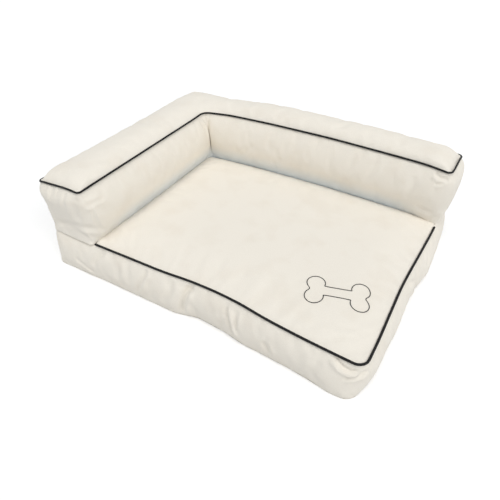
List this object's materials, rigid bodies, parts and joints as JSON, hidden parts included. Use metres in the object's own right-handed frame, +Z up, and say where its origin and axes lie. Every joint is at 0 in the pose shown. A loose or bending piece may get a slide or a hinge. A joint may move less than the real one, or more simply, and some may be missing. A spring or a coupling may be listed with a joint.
{
  "type": "dog sofa bed",
  "caption": "Rectangular foam pet bed with an L-shaped bolster along one end and the back, cloth covers with black piping and rear zips.",
  "frame": {"origin": "on the floor, at the centre of the footprint", "axes": "+X along the back to its open end, +Y to the back, +Z up"},
  "size_m": [0.915, 0.695, 0.2938],
  "materials": {
    "cream_canvas": "cream woven canvas, matt",
    "base_fabric": "plain lining cloth",
    "non_slip": "dark cloth with small grip dots",
    "foam": "open cell foam",
    "comfort_foam": "soft open cell foam",
    "black_piping": "black covered cord",
    "zip_tape": "woven zip tape",
    "zip_teeth": "moulded",
    "zip_metal": "die cast, satin"
  },
  "bodies": {
    "bed": {"side_band": "cream_canvas", "rear_band": "cream_canvas", "seat_panel": "cream_canvas", "arm_band": "cream_canvas", "back_band": "cream_canvas", "bolster_rear_band": "cream_canvas", "bolster_top_panel": "cream_canvas", "deck_lining": "base_fabric", "bottom_panel": "non_slip", "base_foam": "foam", "arm_foam": "foam", "back_foam": "foam", "comfort_foam": "comfort_foam", "seat_piping": "black_piping", "bolster_piping": "black_piping", "base_zip_upper_tape": "zip_tape", "base_zip_lower_tape": "zip_tape", "base_zip_upper_teeth": "zip_teeth", "base_zip_lower_teeth": "zip_teeth", "base_zip_top_stops": "zip_metal", "base_zip_bottom_stop": "zip_metal", "bolster_zip_upper_tape": "zip_tape", "bolster_zip_lower_tape": "zip_tape", "bolster_zip_upper_teeth": "zip_teeth", "bolster_zip_lower_teeth": "zip_teeth", "bolster_zip_top_stops": "zip_metal", "bolster_zip_bottom_stop": "zip_metal"},
    "base_slider": {"base_zip_slider": "zip_metal"},
    "base_pull": {"base_zip_pull": "zip_metal"},
    "bolster_slider": {"bolster_zip_slider": "zip_metal"},
    "bolster_pull": {"bolster_zip_pull": "zip_metal"}
  },
  "joints": [
    {"name": "base_zip_slide", "type": "slide", "parent": "bed", "child": "base_slider", "axis": [-1, 0, 0], "range_m": [0, 0.4912], "deforming": ["base_zip_upper_tape", "base_zip_upper_teeth", "base_zip_lower_tape", "base_zip_lower_teeth"]},
    {"name": "base_zip_pull_swing", "type": "hinge", "parent": "base_slider", "child": "base_pull", "pos_m": [0.2456, 0.3476, 0.0555], "axis": [0, 0, -1], "range_deg": [0, 170]},
    {"name": "bolster_zip_slide", "type": "slide", "parent": "bed", "child": "bolster_slider", "axis": [-1, 0, 0], "range_m": [0, 0.3512], "deforming": ["bolster_zip_upper_tape", "bolster_zip_upper_teeth", "bolster_zip_lower_tape", "bolster_zip_lower_teeth"]},
    {"name": "bolster_zip_pull_swing", "type": "hinge", "parent": "bolster_slider", "child": "bolster_pull", "pos_m": [0.2671, 0.3476, 0.188], "axis": [0, 0, -1], "range_deg": [0, 170]}
  ]
}
